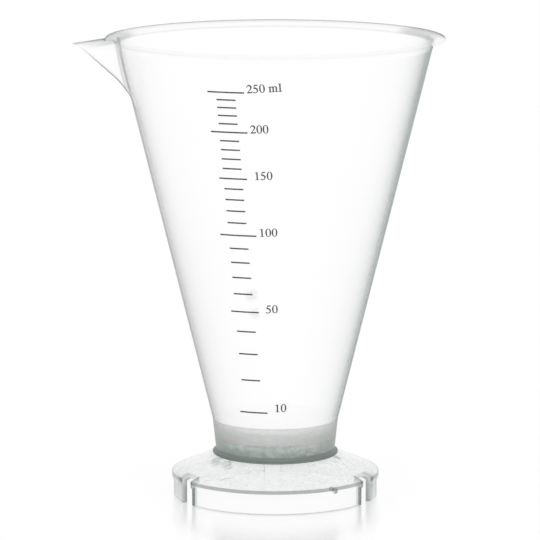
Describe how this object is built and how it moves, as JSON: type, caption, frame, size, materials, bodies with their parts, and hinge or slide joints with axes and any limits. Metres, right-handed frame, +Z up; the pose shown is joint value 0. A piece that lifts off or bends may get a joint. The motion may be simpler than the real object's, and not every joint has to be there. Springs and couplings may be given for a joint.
{
  "type": "conical measuring cup",
  "caption": "Clear plastic conical measuring cup with a V-shaped pouring spout, a printed millilitre scale and a separate round foot with drain notches.",
  "frame": {"origin": "on the cup's axis, on the surface that the foot stands on", "axes": "+Z up along the cup's axis, the spout points along -X"},
  "size_m": [0.1024, 0.092, 0.126],
  "materials": {
    "cup_plastic": "translucent polypropylene, faintly milky",
    "foot_plastic": "clear plastic with fine wear scratches on its sloping top",
    "scale_ink": "thin dark grey printed ink"
  },
  "bodies": {
    "root": {"cup_body": "cup_plastic", "foot": "foot_plastic", "major_graduations": "scale_ink", "minor_graduations": "scale_ink"}
  },
  "joints": []
}
